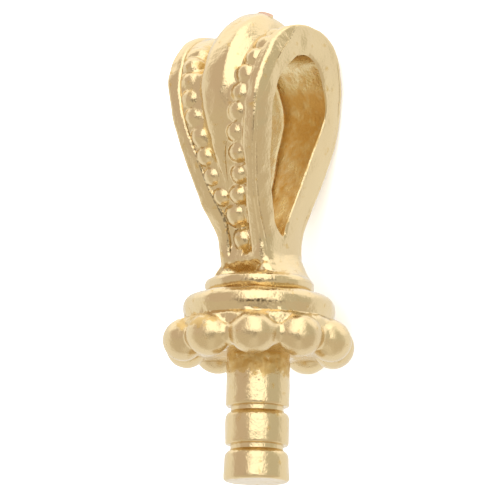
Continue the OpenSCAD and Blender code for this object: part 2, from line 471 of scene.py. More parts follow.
def ramp(x, a, b):
    """Smooth step from 0 at a to 1 at b: f squared times (3 - 2 f), with f the share of the way."""
    f = np.clip((x - a) / (b - a), 0.0, 1.0)
    return f * f * (3.0 - 2.0 * f)


def between(x, a, b, c, d):
    """Rises from 0 at a to 1 at b and falls from 1 at c to 0 at d."""
    return ramp(x, a, b) * (1.0 - ramp(x, c, d))


def bell(x, middle, width):
    """1 at the middle and less on both sides: e to the power of minus ((x - middle) / width)
    squared."""
    return np.exp(-((x - middle) / width) ** 2)


def soft_max(a, b, k):
    """The larger of a and b, rounded over a height k: the mean plus half the root of the squared
    difference and k squared."""
    return 0.5 * (a + b + np.sqrt((a - b) ** 2 + k * k))


def ring_curve(table, t):
    """Closed cubic spline through the rows of a table, at t rows from the first. The second
    derivatives m solve m[i-1] + 4 m[i] + m[i+1] = 6 (y[i-1] - 2 y[i] + y[i+1])."""
    n = len(table)
    step = np.eye(n)
    weights = 4.0 * step + np.roll(step, 1, axis=1) + np.roll(step, -1, axis=1)
    bends = 6.0 * (np.roll(table, 1, 0) - 2.0 * table + np.roll(table, -1, 0))
    m = np.linalg.solve(weights, bends)
    i = np.floor(t).astype(int)
    f = (t - i)[..., None]
    a, b = table[i % n], table[(i + 1) % n]
    ma, mb = m[i % n], m[(i + 1) % n]
    return (1 - f) * a + f * b + ((1 - f) ** 3 - (1 - f)) / 6 * ma + (f**3 - f) / 6 * mb


def open_curve(table, x):
    """Natural cubic spline through the two columns of a table, at x, held level past its ends."""
    xs, ys = table[:, 0], table[:, 1]
    n = len(xs)
    h = np.diff(xs)
    weights, bends = np.eye(n), np.zeros(n)
    k = np.arange(1, n - 1)
    weights[k, k - 1], weights[k, k], weights[k, k + 1] = h[:-1], 2.0 * (h[:-1] + h[1:]), h[1:]
    bends[k] = 6.0 * (np.diff(ys)[1:] / h[1:] - np.diff(ys)[:-1] / h[:-1])
    m = np.linalg.solve(weights, bends)
    x = np.clip(x, xs[0], xs[-1])
    i = np.clip(np.searchsorted(xs, x) - 1, 0, n - 2)
    d = h[i]
    f = (x - xs[i]) / d
    curve = (1 - f) * ys[i] + f * ys[i + 1]
    return curve + d * d / 6 * (((1 - f) ** 3 - (1 - f)) * m[i] + (f**3 - f) * m[i + 1])


def outward(t):
    """Unit normal of the outer line at t rows, in the y and z plane, by central difference."""
    step = 0.02
    d = (ring_curve(SECTIONS, t + step) - ring_curve(SECTIONS, t - step))[..., OUT_Y:OUT_Z + 1]
    d = d / np.linalg.norm(d, axis=-1, keepdims=True)
    return np.stack([-d[..., 1], d[..., 0]], axis=-1)


def line_lengths():
    """Rows in fine steps round the ring from the foot's row, with the length of the outer line."""
    t = np.linspace(FOOT_ROW, FOOT_ROW + ROWS, FINE_STEPS * ROWS + 1)
    p = ring_curve(SECTIONS, t)[:, OUT_Y:OUT_Z + 1]
    s = np.concatenate([[0.0], np.cumsum(np.linalg.norm(np.diff(p, axis=0), axis=1))])
    return t, s


RING_T, RING_S = line_lengths()


# The ring with its leaf, channels and beads

def bead_places(rng):
    """Rows of [length, x, radius, sink], one for each bead, with the small unevenness of a cast."""
    i = np.arange(BEADS)
    s = FIRST_BEAD + i * BEAD_PITCH - i * i * PITCH_FALL / 2
    t = np.interp(s, RING_S, RING_T)
    x = ring_curve(SECTIONS, t)[:, CHAN_W] - BEAD_IN
    r = BEAD_R[0] + (BEAD_R[1] - BEAD_R[0]) * ramp(s, *BEAD_R_S)
    sink = r - BEAD_OVER + TOP_SINK * ramp(s, *TOP_FROM)
    sides = {side: np.stack([s, side * x, r, sink], axis=1) for side in (-1, 1)}
    sides[1][:, 1] -= RIGHT_IN * between(s, *RIGHT_IN_S)
    for side, place, wider, deeper in ODD_BEADS:
        sides[side][place, 2:] += wider, wider + deeper
    low = [[s0, 0.0, r0, r0 - BEAD_OVER] for s0, r0 in (JOINT_BEAD, FOOT_BEAD)]
    rows = np.concatenate([sides[-1], sides[1], low])
    rows[:, :2] += rng.uniform(-1, 1, (len(rows), 2)) * PLACE_STRAY
    change = rng.uniform(-RADIUS_STRAY, RADIUS_STRAY, len(rows))
    rows[:, 2] += change
    rows[:, 3] += change + rng.uniform(*SINK_STRAY, len(rows))
    return rows


def bead_height(s, x, beads):
    """Height over the rims of the highest bead at each point: a ball's cap out to CAP_SHARE of
    its radius, then a steep straight flank."""
    height = np.full(s.shape, NO_BEAD)
    for s0, x0, r, sink in beads:
        d = np.sqrt((s - s0) ** 2 + (x - x0) ** 2)
        edge = CAP_SHARE * r
        cap = np.sqrt(np.maximum(r * r - np.minimum(d, edge) ** 2, 0.0))
        height = np.maximum(height, cap - sink - CAP_SLOPE * np.maximum(d - edge, 0.0))
    return height


def deep_spots(s, x, beads):
    """Share of the deep spot on the foot's side of each of the lowest beads: the highest of their
    bell curves of the distance."""
    share = np.zeros(s.shape)
    for s0, x0, r, _ in beads:
        if s0 < SPOT_TO_S and x0 > SPOT_FROM_X:
            d = np.hypot(s - s0 + SPOT_BACK * r, x - x0 - SPOT_ASIDE * r)
            share = np.maximum(share, bell(d, 0.0, SPOT_W))
    return share


def ring_rows():
    """The rows of points round the ring, close on the beaded front and wide behind: their length s
    along the outer line, and what the sections need there, each as a column."""
    s = np.concatenate([np.linspace(0.0, FRONT_END, FRONT_ROWS, endpoint=False),
                        np.linspace(FRONT_END, RING_S[-1], BACK_ROWS, endpoint=False)])
    t = np.interp(s, RING_S, RING_T)
    row = ring_curve(SECTIONS, t)
    ring = SimpleNamespace(s=s[:, None], outer=row[:, OUT_Y:OUT_Z + 1], inner=row[:, IN_Y:IN_Z + 1],
                           normal=outward(t), leaf_w=row[:, LEAF_W, None], chan_w=row[:, CHAN_W, None],
                           round_r=row[:, EDGE, None])
    height = ring.outer[:, 1:2]
    deeper = CHANNEL_T + FOOT_DEEPER * (1 - ramp(ring.s, *CHAN_SHALLOW))
    ring.depth = deeper * ramp(ring.s, *CHAN_FOOT) * (1 - ramp(ring.s, *CHAN_TOP))
    ring.whole = ramp(ring.depth, 0.0, FULL_DEPTH)
    ring.swell = SIDE_SWELL * (1 - ramp(height, *SWELL_ENDS))
    ring.width = open_curve(WIDTHS, height) - ring.swell
    ring.power = LEAF_POWER - POWER_FALL * ramp(height, *POWER_FALL_Z)
    ring.rise = np.maximum(row[:, LEAF_H, None], -ring.depth) + ring.depth
    return ring


def place(ring, x, q, n):
    """Points of the sections: x across, and I + q (O - I) + n N along and up, with O and I on the
    outer and the opening's line, N the outer line's normal and n the height over the rims."""
    yz = ring.inner[:, None] + (ring.outer - ring.inner)[:, None] * q[..., None]
    return np.concatenate([x[..., None], yz + ring.normal[:, None] * n[..., None]], axis=-1)


def inner_points(count):
    """Shares of the way at that many points between two ends, without the ends."""
    return np.linspace(0.0, 1.0, count + 2)[None, 1:-1]


def leaf_half(ring, side):
    """Half width of the leaf on one side, and x and height from its middle outwards. It is a
    superellipse: x = w sin^(2/p), height = h cos^(2/p). The right flank is level instead and then
    falls evenly."""
    flank = between(ring.s, *FLANK_S) * (side > 0)
    leaf_w = np.maximum(ring.leaf_w, LEAF_LEAST) - LEFT_NARROW * between(ring.s, *NARROW_S) * (side < 0)
    gap = np.interp(ring.s, FLANK[:, 0], FLANK[:, 1])
    leaf_w = leaf_w + flank * np.maximum(ring.chan_w - gap - leaf_w, 0.0)
    a = np.linspace(0.0, 0.5 * np.pi, LEAF_POINTS)[None, :]
    round_x = np.sin(a) ** (2 / ring.power)
    round_n = np.cos(a).clip(0) ** (2 / ring.power)
    slope_x = a / (0.5 * np.pi) + 0.0 * ring.s
    bend = soft_max(slope_x - np.interp(ring.s, FLANK[:, 0], FLANK[:, 2]), 0.0, FLANK_ROUND)
    slope_n = 1.0 - (bend - bend[:, :1]) / (bend[:, -1:] - bend[:, :1])
    x = leaf_w * (round_x * (1 - flank) + slope_x * flank)
    return leaf_w, x, ring.rise * (round_n * (1 - flank) + slope_n * flank) - ring.depth


def channel_floor(ring, side, leaf_w, chan, beads):
    """x and height of the channel's floor, from the leaf to the channel's wall, with the shares of
    the line beside the leaf, of the pocket and of the deep spots under beads, which are cut into
    it. It curls up at its outer side with a power of the share of its width."""
    f = np.linspace(0.0, 1.0, FLOOR_POINTS + 1)[None, 1:]
    x = leaf_w + (chan - WALL_GAP - leaf_w) * f**FLOOR_CROWD
    n = FLOOR_CURL * ring.whole * f**CURL_POWER - ring.depth
    line = between(ring.s, *LINE_S) * bell(x - leaf_w, LINE_W, LINE_W) * (side < 0)
    pocket = between(ring.s, *POCKET_S) * bell(x - leaf_w, POCKET_AT, POCKET_W) * (side < 0)
    spots = deep_spots(ring.s + 0.0 * x, side * x, beads)
    return x, n - LINE_CUT * line - POCKET_T * pocket - SPOT_T * spots, line, pocket, spots


def rim_and_edge(ring, side, chan):
    """x and height of the rim, and how far its edge comes down at the side: a quarter ellipse for
    the inner lip, a flat, and a rounded outer edge, which is an arc up to BEVEL_TURN, a straight
    bevel where there is one, and a small arc."""
    rim = ring.width - chan
    bevel = between(ring.s, *BEVEL_S) * (side > 0)
    plain = np.minimum(ring.round_r, ROUND_SHARE * rim) * (1 - bevel)
    crest, low_edge = plain + BEVEL_R * bevel, plain + BEVEL_EDGE * bevel
    across = crest * math.sin(BEVEL_TURN) + BEVEL_X * bevel + low_edge * (1 - math.sin(BEVEL_TURN))
    fit = np.minimum(1.0, EDGE_SHARE * rim / across)
    crest, low_edge, bevel, across = crest * fit, low_edge * fit, bevel * fit, across * fit
    crest_drop = crest * (1 - math.cos(BEVEL_TURN))
    bevel_drop = BEVEL_X * bevel * math.tan(BEVEL_TURN)
    edge = crest_drop + bevel_drop + low_edge * math.cos(BEVEL_TURN)

    lip = (LIP_SHARE if side > 0 else LEFT_LIP_SHARE) * (rim - across)
    shallow = 1 - LIP_SHALLOW * between(ring.s, *LIP_SHALLOW_S)
    lip_drop = LIP_DROP * ring.whole * (shallow if side > 0 else LEFT_LIP_DEEPER)
    a = np.linspace(0.0, 0.5 * np.pi, LIP_POINTS)[None, :]
    lip_x, lip_n = chan + lip * (1 - np.cos(a)), -lip_drop * (1 - np.sin(a))
    flat_x = chan + lip + (ring.width - across - chan - lip) * inner_points(RIM_POINTS)
    a = np.linspace(0.0, BEVEL_TURN, CREST_POINTS)[None, :]
    crest_x, crest_n = ring.width - across + crest * np.sin(a), -crest * (1 - np.cos(a))
    bevel_x = crest_x[:, -1:] + BEVEL_X * bevel * inner_points(BEVEL_POINTS)
    bevel_n = -crest_drop - bevel_drop * inner_points(BEVEL_POINTS)
    a = np.linspace(BEVEL_TURN, 0.5 * np.pi, EDGE_POINTS)[None, :]
    low_x, low_n = ring.width - low_edge * (1 - np.sin(a)), low_edge * np.cos(a) - edge
    return (np.concatenate([lip_x, flat_x, crest_x, bevel_x, low_x], axis=1),
            np.concatenate([lip_n, 0.0 * flat_x, crest_n, bevel_n, low_n], axis=1), edge)


def flat_side(ring, edge):
    """Points of the side, with the shares of the notch and of the faint line. Its x is the half
    width at its height, less a swell times q to a power."""
    q = SIDE_Q[None, :]
    points = place(ring, 0.0 * (q + edge), q + 0.0 * edge, -edge * q)
    points[..., 0] = open_curve(WIDTHS, points[..., 2]) - ring.swell * q**SWELL_POWER
    notch = between(ring.s, *NOTCH_S) * bell(q, NOTCH_AT, NOTCH_W)
    points[..., 0] -= NOTCH_T * notch
    return points, notch, between(ring.s, *FAINT_S) * bell(q, NOTCH_AT, FAINT_W)


def opening_wall(ring, side):
    """Points of the opening's wall from its edge to its middle, with the share of the raw colour.
    The seam is a bell curve across it."""
    wide = open_curve(WIDTHS, ring.inner[:, 1])[:, None] - OPENING_BEVEL
    by_seam = SEAM_X + SEAM_W * SEAM_POINTS[None, :] + 0.0 * wide
    x = np.concatenate([wide * np.array(WALL_X), by_seam, 0.0 * wide], axis=1)
    ridge = SEAM_T * bell(x, SEAM_X, SEAM_W) * (side > 0)
    beyond = ramp(side * x, SEAM_X - SEAM_W, SEAM_X + SEAM_W)
    height = ring.inner[:, 1:2]
    raw = beyond * (RAW_LOW + (1 - RAW_LOW) * ramp(height, *RAW_LOW_Z))
    return place(ring, x, -ridge / SEAM_REACH, 0.0 * x), raw * (1 - ramp(height, *RAW_TOP_Z))


def half_ring(ring, side, beads):
    """One side of the sections, from the middle of the leaf over the channel, the rim and the flat
    side to the middle of the opening's wall: the points, how dark and how raw they are, and which
    lie on that wall. The beads stand in the channel by the softened larger of the two heights."""
    leaf_w, leaf_x, leaf_n = leaf_half(ring, side)
    chan = ring.chan_w + side * CHAN_SHIFT * between(ring.s, *SHIFT_S)
    chan = np.maximum(chan, leaf_w + CHAN_LEAST)
    floor_x, floor_n, line, pocket, spots = channel_floor(ring, side, leaf_w, chan, beads)
    rim_x, rim_n, edge = rim_and_edge(ring, side, chan)
    x = np.concatenate([leaf_x, floor_x, rim_x], axis=1)
    n = np.concatenate([leaf_n, floor_n, rim_n], axis=1)
    cover = bead_height(ring.s + 0.0 * x, side * x, beads)
    beaded = LEAF_POINTS + FLOOR_POINTS + BEADED_LIP
    blend = BEAD_BLEND[0] + (BEAD_BLEND[1] - BEAD_BLEND[0]) * ramp(ring.s, *BLEND_S)
    n[:, :beaded] = soft_max(n, cover, blend)[:, :beaded]
    flat, notch, faint = flat_side(ring, edge)
    wall, wall_raw = opening_wall(ring, side)
    points = np.concatenate([place(ring, x, 1.0 + 0.0 * x, n), flat, wall], axis=1)
    points[..., 0] *= side

    on_floor = slice(LEAF_POINTS, LEAF_POINTS + FLOOR_POINTS)
    on_lip = slice(on_floor.stop, on_floor.stop + LIP_DARK_POINTS)
    on_side = slice(x.shape[1], x.shape[1] + len(SIDE_Q))
    on_wall = np.broadcast_to(np.arange(points.shape[1]) >= on_side.stop, points.shape[:2])
    raw, dark = np.zeros(points.shape[:2]), np.zeros(points.shape[:2])
    # Warm painted shade in the line, the pocket and the deep spots of the channel floor; the raw
    # casting's colour on the wall
    raw[:, on_floor] = np.maximum(np.maximum(line, pocket), SPOT_WARM_SHADE * spots)
    raw[:, on_side.stop:] = wall_raw
    # Painted shade in the pocket and the notch, a faint painted dark reflection along the edges, and
    # painted shade along the left lip
    dark[:, on_floor] = POCKET_DARK * pocket
    dark[:, on_side] = NOTCH_DARK * notch + FAINT_DARK * faint
    if side < 0:
        dark[:, on_lip] = LIP_DARK * between(ring.s, *LIP_DARK_S)
    return points, dark, raw, on_wall


def ring_surface(beads):
    """The bail's ring: both halves of every section, with the hollow under the foot's lip, which
    moves the front back by HOLLOW_T."""
    ring = ring_rows()
    right, left = half_ring(ring, 1, beads), half_ring(ring, -1, beads)
    points, dark, raw, wall = (np.concatenate([one[:, ::-1], other[:, 1:-1]], axis=1)
                               for one, other in zip(right, left))
    front = ramp(-points[..., 1], *HOLLOW_Y) * (1 - ramp(np.abs(points[..., 0]), *HOLLOW_X))
    points[..., 1] += HOLLOW_T * front * (1 - ramp(points[..., 2], *HOLLOW_ENDS))
    return points, dark, raw, wall


# Meshes from grids and profiles

def grid_faces(nu, nv, close_u=True, close_v=True):
    """Quads of a grid of nu by nv points, numbered row by row, closed in either direction."""
    i, j = np.meshgrid(np.arange(nu if close_u else nu - 1), np.arange(nv if close_v else nv - 1),
                       indexing="ij")
    i2, j2 = (i + 1) % nu, (j + 1) % nv
    return np.stack([i * nv + j, i * nv + j2, i2 * nv + j2, i2 * nv + j], axis=-1).reshape(-1, 4)


def in_scene(name, data):
    """Adds an object that holds a mesh, a camera or a light."""
    made = bpy.data.objects.new(name, data)
    bpy.context.scene.collection.objects.link(made)
    return made


def mesh_object(name, points, faces, finishes=None):
    """A mesh object from points and lists of corners, and the number of each face's finish."""
    mesh = bpy.data.meshes.new(name)
    mesh.from_pydata(points.reshape(-1, 3).tolist(), [], faces)
    if finishes is not None:
        mesh.polygons.foreach_set("material_index", finishes.astype(np.int32))
    mesh.update()
    return in_scene(name, mesh)


def capped(name, points, low_z, high_z):
    """A solid from rings of points, one column for each height from the lowest up, with a single
    point on the axis at each end."""
    steps, n = points.shape[:2]
    quads = grid_faces(steps, n, close_v=False)[:, ::-1]
    low = np.arange(steps) * n
    low_pole = np.full(steps, steps * n)
    caps = np.concatenate([np.stack([low_pole, np.roll(low, -1), low], axis=1),
                           np.stack([low_pole + 1, low + n - 1, np.roll(low, -1) + n - 1], axis=1)])
    poles = np.array([[0.0, 0.0, low_z], [0.0, 0.0, high_z]])
    return mesh_object(name, np.concatenate([points.reshape(-1, 3), poles]),
                       quads.tolist() + caps.tolist())


def turned(name, profile, steps):
    """A solid of revolution about Z: a closed profile of [r, z] that starts and ends on the axis,
    its lower end first."""
    a = np.linspace(0.0, 2.0 * np.pi, steps, endpoint=False)[:, None]
    r, z = profile[1:-1, 0][None, :], profile[1:-1, 1][None, :]
    return capped(name, np.stack([r * np.cos(a), r * np.sin(a), z + 0.0 * a], axis=-1),
                  profile[0, 1], profile[-1, 1])


def arc(r0, z0, radius, start, end, count):
    """Points [r, z] on an arc about r0, z0 from the angle start to end, in degrees."""
    a = np.radians(np.linspace(start, end, count))
    return np.stack([r0 + radius * np.cos(a), z0 + radius * np.sin(a)], axis=1)


def finer(profile, step):
    """The same line of [r, z] points, with one more after each step of its length, unless a point is
    nearer than STEP_CLEAR of a step."""
    d = np.concatenate([[0.0], np.cumsum(np.linalg.norm(np.diff(profile, axis=0), axis=1))])
    extra = np.arange(step, d[-1], step)
    extra = extra[np.abs(extra[:, None] - d[None, :]).min(axis=1) > STEP_CLEAR * step]
    at = np.sort(np.concatenate([d, extra]))
    return np.stack([np.interp(at, d, profile[:, k]) for k in (0, 1)], axis=1)


# Cap, neck, crown, stub and peg

def cap_and_collar():
    """The crown's core, the domed cap, a superellipse of r = cos^(2/p) and z = sin^(2/p), and the
    collar with the groove below it."""
    a = np.linspace(DOME_FROM, 0.5 * np.pi, DOME_POINTS)
    dome = np.stack([DOME_R + DOME_OUT * np.cos(a).clip(0) ** (2 / DOME_POWER),
                     DOME_Z + DOME_UP * np.sign(a) * np.abs(np.sin(a)) ** (2 / DOME_POWER)], axis=1)
    profile = np.concatenate([
        [[r, UNDER_Z] for r in UNDER_R],
        arc(CORE_R - UNDER_ROUND, UNDER_Z + UNDER_ROUND, UNDER_ROUND, -90, 0, UNDER_POINTS),
        CORE_SIDE + [CORE_R, 0.0],
        dome,
        [COLLAR_GROOVE],
        arc(COLLAR_R, COLLAR_Z, COLLAR_ROUND, *COLLAR_ARC, COLLAR_POINTS),
        [COLLAR_TOP, [0.0, COLLAR_TOP[1]]],
    ])
    return turned("cap", profile, TURN_STEPS)


def neck():
    """The sweep from the foot to the collar. At a share h of the way down, the radius is the
    foot's box outline plus what it lacks to the collar's, times h to a power that is lowest behind
    the right side. Between the rims in front it draws in instead, as a hollow under the foot's
    lip."""
    a = np.linspace(0.0, 2.0 * np.pi, TURN_STEPS, endpoint=False)[:, None]
    x, y = np.cos(a), np.sin(a)
    half_y = np.where(y < 0, NECK_FRONT, NECK_BACK)
    foot = (np.abs(x / NECK_X) ** NECK_BOX + np.abs(y / half_y) ** NECK_BOX) ** (-1 / NECK_BOX)
    front = (1 - ramp(np.abs(foot * x), *HOLLOW_X)) * (y < 0)
    top = NECK_TOP + (NECK_TOP_FRONT - NECK_TOP) * front
    turn = NECK_TURN - NECK_TURN_SIDE * np.cos(a - CAM_TURN)
    h = np.linspace(1.0, 0.0, NECK_ROWS)[None, :]
    r = foot + (COLLAR_OUT - foot) * h**turn * (1 - front) - HOLLOW_T * front * ramp(h, *HOLLOW_SHARE)
    z = top - (top - NECK_LOW) * h
    return capped("neck", np.stack([r * x, r * y, z], axis=-1), NECK_LOW, NECK_TOP_FRONT)


def crown():
    """The bead ring as one tube. A bead is an ellipsoid, flatter outwards. At an angle f from its
    middle the section is the ellipse in which that half plane cuts it, from the roots r of
    (cos^2 f / o^2 + sin^2 f / s^2) r^2 - 2 R cos f / o^2 r + R^2 / o^2 - 1 = 0, and it is blended
    into the web by a sum of eighth powers. The steps crowd towards the joints by a sine."""
    t = np.linspace(-1.0, 1.0, CROWN_STEPS, endpoint=False)
    pitch = 2.0 * np.pi / CROWN_BEADS
    f = pitch / 2 * (CROWN_EVEN * t + (1 - CROWN_EVEN) * np.sin(0.5 * np.pi * t))
    qa = (np.cos(f) / CROWN_BEAD_OUT) ** 2 + (np.sin(f) / CROWN_BEAD_SIDE) ** 2
    qb = CROWN_R * np.cos(f) / CROWN_BEAD_OUT**2
    qc = (CROWN_R / CROWN_BEAD_OUT) ** 2 - 1
    root = np.maximum(qb**2 - qa * qc, 0.0)

    def on_web(size):
        """A size blended into the web's: the root of the sum of both to that power."""
        return (size**WEB_POWER + CROWN_WEB**WEB_POWER) ** (1 / WEB_POWER)

    deep, tall = on_web(np.sqrt(root) / qa), on_web(np.sqrt(root / qa) * CROWN_BEAD_UP)
    deep, tall, out = (np.tile(v, CROWN_BEADS)[:, None] for v in (deep, tall, qb / qa))
    a = (np.repeat(np.arange(CROWN_BEADS) * pitch, CROWN_STEPS) + np.tile(f, CROWN_BEADS))[:, None]
    a -= 0.5 * np.pi
    b = np.linspace(0.0, 2.0 * np.pi, CROWN_ROUND_STEPS, endpoint=False)[None, :]
    r = out + deep * np.cos(b)
    points = np.stack([r * np.cos(a), r * np.sin(a), tall * np.sin(b)], axis=-1)
    quads = grid_faces(*points.shape[:2])[:, ::-1]
    return mesh_object("crown", points, quads.tolist(), np.full(len(quads), CROWN_FINISH))


def stub():
    """The filed stub of the casting gate: a short turned post on the crest of the leaf, tilted to
    the right and leaning."""
    profile = np.array([[0.0, STUB_ROOT], [STUB_R, STUB_ROOT], [STUB_R, STUB_H - STUB_EDGE],
                        [STUB_R - STUB_EDGE, STUB_H], [0.0, STUB_H]])
    made = turned("stub", profile, STUB_STEPS)
    # Only the faces of its flat end lie that high
    filed = read_vectors(made.data.polygons, "center")[:, 2] > STUB_H - 0.1 * STUB_EDGE
    made.data.polygons.foreach_set("material_index", (filed * FILED_FINISH).astype(np.int32))
    crest = ring_curve(SECTIONS, np.array([STUB_ROW]))[0]
    way = outward(np.array([STUB_ROW]))[0]
    at = crest[OUT_Y:OUT_Z + 1] + way * (crest[LEAF_H] - STUB_DROP)
    lean = math.atan2(-way[0], way[1]) + STUB_LEAN
    made.data.transform(Matrix.Translation((STUB_X, at[0], at[1])) @ Matrix.Rotation(lean, 4, "X")
                        @ Matrix.Rotation(STUB_TILT, 4, "Y"))
    return made


def peg():
    """The peg, its profile from the root down and then turned round: two grooves, crisp above and
    sloping out below, and the slight lip at its end."""
    parts = [[[0.0, 0.0], [PEG_ROOT_R, 0.0], [PEG_ROOT_R, PEG_ROOT_Z]]]
    for high, low in GROOVES:
        parts.append(arc(PEG_R - GROOVE_ROUND, high + GROOVE_OVER, GROOVE_ROUND, *GROOVE_ARC,
                         GROOVE_POINTS))
        parts.append([[PEG_R - GROOVE_T, high + GROOVE_FLOOR]])
        parts.append([PEG_R, low] + GROOVE_SLOPE * [-1, 1])
    parts.append([[PEG_R + PEG_SWELL, PEG_SWELL_Z], [LIP_R, PEG_END_Z + 2 * PEG_END_ROUND]])
    parts.append(arc(LIP_R - PEG_END_ROUND, PEG_END_Z + PEG_END_ROUND, PEG_END_ROUND, 0, -90,
                     PEG_END_POINTS))
    parts.append([[r, PEG_END_Z] for r in PEG_END_R])
    return turned("peg_shell", finer(np.concatenate(parts)[::-1], PEG_STEP), PEG_STEPS)


# Joining the shells, softening, staining, painted dark lines and unevenness

def fused(name, shells, finishes):
    """Unites closed shells into one body, which keeps each face's finish, and takes them away."""
    for shell in shells:
        numbers = np.empty(len(shell.data.polygons), dtype=np.int32)
        shell.data.polygons.foreach_get("material_index", numbers)
        for finish in finishes:
            shell.data.materials.append(finish)
        shell.data.polygons.foreach_set("material_index", numbers)
    base = shells[0]
    for other in shells[1:]:
        unite = base.modifiers.new("unite", "BOOLEAN")
        unite.operation = "UNION"
        unite.solver = "MANIFOLD"
        unite.object = other
    graph = bpy.context.evaluated_depsgraph_get()
    mesh = bpy.data.meshes.new_from_object(base.evaluated_get(graph), depsgraph=graph)
    for shell in shells:
        bpy.data.objects.remove(shell)
    mesh.name = name
    return in_scene(name, mesh)


def read_vectors(items, key):
    """The vectors that a mesh keeps under a name, as rows."""
    values = np.empty(len(items) * 3)
    items.foreach_get(key, values)
    return values.reshape(-1, 3)


def add_share(mesh, key, share):
    """Adds to the shares, of one at most, that a mesh keeps at its points under a name."""
    kept = mesh.attributes[key].data
    values = np.empty(len(share))
    kept.foreach_get("value", values)
    kept.foreach_set("value", np.minimum(values + share, 1.0))


def waves(points, rng, size, count):
    """Smooth noise of about one: a sum of cosines in random directions, with waves of WAVE_SHARES
    times size."""
    way = rng.normal(size=(count, 3))
    turns = 2.0 * np.pi / (size * rng.uniform(*WAVE_SHARES, count))
    way *= (turns / np.linalg.norm(way, axis=1))[:, None]
    return np.cos(points @ way.T + rng.uniform(0, 2 * np.pi, count)).sum(axis=1) * math.sqrt(2 / count)


def softened(mesh, points, share, rounds):
    """Draws each point towards the mean of its neighbours by its share, round after round, as
    tumbling and plating round off a crease."""
    ends = np.empty(len(mesh.edges) * 2, dtype=np.int32)
    mesh.edges.foreach_get("vertices", ends)
    ends = np.concatenate([ends, ends.reshape(-1, 2)[:, ::-1].ravel()]).reshape(-1, 2)
    n = len(points)
    neighbours = np.bincount(ends[:, 0], minlength=n)
    for _ in range(rounds):
        mean = np.stack([np.bincount(ends[:, 0], points[ends[:, 1], k], n) for k in range(3)], axis=1)
        mean /= neighbours[:, None]
        points = points + share[:, None] * (mean - points)
    return points


def soften_creases(mesh):
    """Rounds off the creases at the collar, at the foot's lip, between the crown beads and along
    the right rim's top."""
    points = read_vectors(mesh.vertices, "co")
    x, y, z = points.T
    r = np.hypot(x, y)
    share = between(z, *COLLAR_CREASE_Z) * ramp(r, *COLLAR_CREASE_R)
    share += between(z, *FOOT_CREASE_Z) * ramp(-y, *FOOT_CREASE_Y)
    share += CROWN_SOFT * between(z, *CROWN_CREASE_Z) * ramp(r, *CROWN_CREASE_R)
    share += TOP_SOFT * between(z, *TOP_CREASE_Z) * ramp(x, *TOP_CREASE_X) * (y < TOP_CREASE_Y)
    points = softened(mesh, points, SOFT_SHARE * np.minimum(share, 1.0), SOFT_ROUNDS)
    mesh.vertices.foreach_set("co", points.ravel())
    mesh.update()


def stains_and_painted_lines(mesh):
    """Adds the raw casting's colour at the peg's root and on the crown's left side by the cap, and
    the painted dark reflections, lines on the cap and the collar."""
    x, y, z = read_vectors(mesh.vertices, "co").T
    across = x * math.cos(CAM_TURN) + y * math.sin(CAM_TURN)
    root = between(z, *ROOT_STAIN_Z) * (1 - ramp(np.hypot(x, y), *ROOT_R))
    by_cap = CROWN_STAIN * between(z, *CROWN_STAIN_Z) * between(across, *CROWN_STAIN_X)
    add_share(mesh, "raw_cast_and_warm_shade", root + by_cap)
    # Painted dark reflections: lines on the cap and collar where the metal would mirror the dark stand
    # under the softbox
    lines = sum(between(across, *ends) * bell(z, height, thick) for height, thick, ends in DARK_LINES)
    add_share(mesh, "painted_dark", lines * (y < FRONT_Y))


def uneven(mesh, rng):
    """Moves each point along its normal by the gentle unevenness of a tumbled casting."""
    points = read_vectors(mesh.vertices, "co")
    normals = read_vectors(mesh.vertex_normals, "vector")
    x, y, z = points.T
    r = np.hypot(x, y)
    swell = sum(height * waves(points, rng, size, SWELL_WAVES) for height, size in SWELLS)
    swell *= PEG_SMOOTHER + (1 - PEG_SMOOTHER) * ramp(z, *BAIL_FROM_Z)
    rough = between(z, *UNDER_CAP_Z) * between(r, *UNDER_CAP_R)
    rough += HOLLOW_ROUGH * between(z, *HOLLOW_ROUGH_Z) * ramp(-y, *HOLLOW_ROUGH_Y)
    rough += between(z, *ROOT_ROUGH_Z) * (1 - ramp(r, *ROOT_R))
    swell += ROUGH_T * rough * waves(points, rng, ROUGH_SIZE, ROUGH_WAVES)
    mesh.vertices.foreach_set("co", (points + normals * swell[:, None]).ravel())
    mesh.update()


# How the bail lies

def outer_reach(a):
    """How far the outer line reaches in the direction at angle a from the front: the largest of
    y cos a + z sin a."""
    p = ring_curve(SECTIONS, RING_T)
    return (p[:, OUT_Y] * math.cos(a) + p[:, OUT_Z] * math.sin(a)).max()


def lying_angle():
    """The lean at which the rear crown bead and the bail's back both touch the surface: what the
    crown reaches further than the back, over the arm between them, is added until it is nothing."""
    a = LEAN_START
    for _ in range(LEAN_ROUNDS):
        a += (REST_RING_R * math.cos(a) + REST_BEAD_R - outer_reach(a)) / LEAN_ARM
    return a


# The lean, how far the peg reaches down along X, the turn from upright to lying, and the whole move
# into the frame, with the peg's end at the CAD's and the rear crown bead on the surface
LEAN = lying_angle()
PEG_LOW = PEG_END_Z * math.cos(LEAN) - (PEG_R - PEG_END_ROUND) * math.sin(LEAN)
UPRIGHT_TO_LYING = Matrix.Rotation(LEAN, 4, "Y") @ Matrix(
    ((0, 0, 1, 0), (-1, 0, 0, 0), (0, -1, 0, 0), (0, 0, 0, 1)))
PLACE = (Matrix.Translation((cad_low.x - PEG_LOW * MM, 0.0,
                             (REST_RING_R * math.cos(LEAN) + REST_BEAD_R) * MM))
         @ UPRIGHT_TO_LYING @ Matrix.Scale(MM, 4))


# Finishes

def srgb(code):
    """Linear colour from an sRGB hex value, by the formula of the sRGB standard."""
    c = np.array([int(code[i:i + 2], 16) for i in (1, 3, 5)]) / 255.0
    linear = np.where(c <= 0.04045, c / 12.92, ((c + 0.055) / 1.055) ** 2.4)
    return (*linear.tolist(), 1.0)


